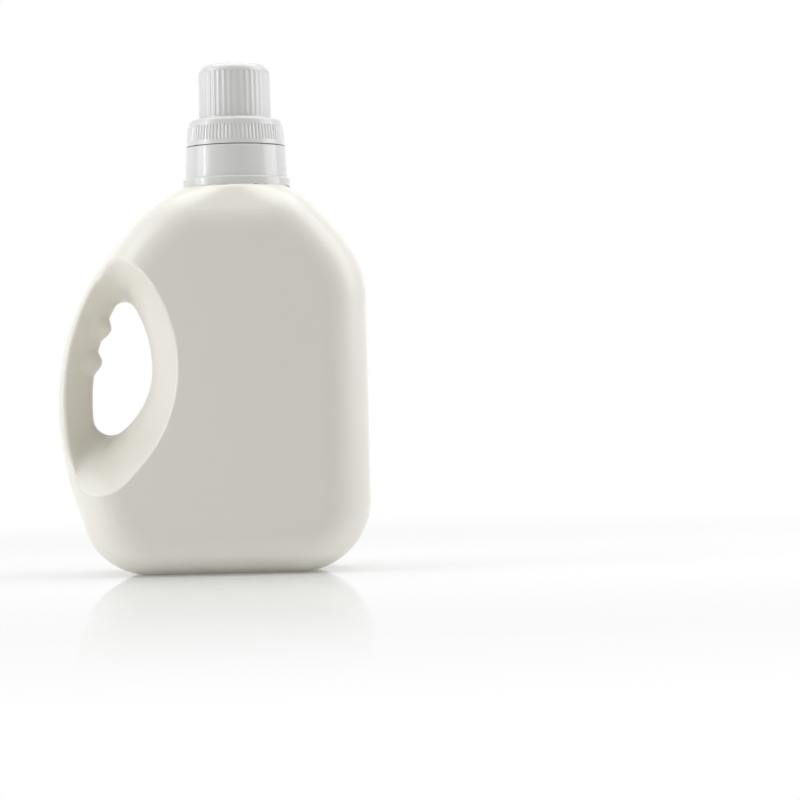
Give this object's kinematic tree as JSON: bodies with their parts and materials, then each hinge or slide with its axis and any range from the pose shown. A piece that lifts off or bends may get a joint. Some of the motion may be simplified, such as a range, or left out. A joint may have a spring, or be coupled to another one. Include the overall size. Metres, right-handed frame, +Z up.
{
  "type": "laundry detergent bottle",
  "caption": "Flat-sided blow-moulded detergent bottle with a pierced side handle, screw collar, drain-back pouring spout and a screw-on dosing cap.",
  "frame": {"origin": "middle of the footprint box, on the surface that the bottle stands on", "axes": "+Z up along the neck, +Y towards the back panel with the front panel facing -Y, handle on the -X side"},
  "size_m": [0.167, 0.082, 0.273],
  "materials": {
    "bottle_plastic": "satin blow-moulded polyethylene, warm off-white",
    "spout_plastic": "soft moulded polyethylene, natural white",
    "closure_plastic": "semi-gloss moulded polypropylene, neutral white",
    "liner_foam": "expanded polyethylene liner, white"
  },
  "bodies": {
    "bottle": {"bottle": "bottle_plastic"},
    "spout": {"spout_fitment": "spout_plastic"},
    "collar": {"collar": "closure_plastic"},
    "liner": {"cap_seal": "liner_foam"},
    "cap": {"dosing_cap": "closure_plastic"}
  },
  "joints": [
    {"name": "spout_lift", "type": "slide", "parent": "bottle", "child": "spout", "axis": [0, 0, 1], "range_m": [0, 0.009]},
    {"name": "collar_turn", "type": "hinge", "parent": "spout", "child": "collar", "pos_m": [0.015, 0, 0.215], "axis": [0, 0, 1], "range_deg": [0, 720]},
    {"name": "cap_lift", "type": "slide", "parent": "collar", "child": "liner", "axis": [0, 0, 1], "range_m": [0, 0.006]},
    {"name": "cap_turn", "type": "hinge", "parent": "liner", "child": "cap", "pos_m": [0.015, 0, 0.235], "axis": [0, 0, 1], "range_deg": [0, 540]}
  ],
  "couplings": [
    {"joint": "spout_lift", "follows": "collar_turn", "m_per_rad": 0.0007162},
    {"joint": "cap_lift", "follows": "cap_turn", "m_per_rad": 0.00063662}
  ]
}
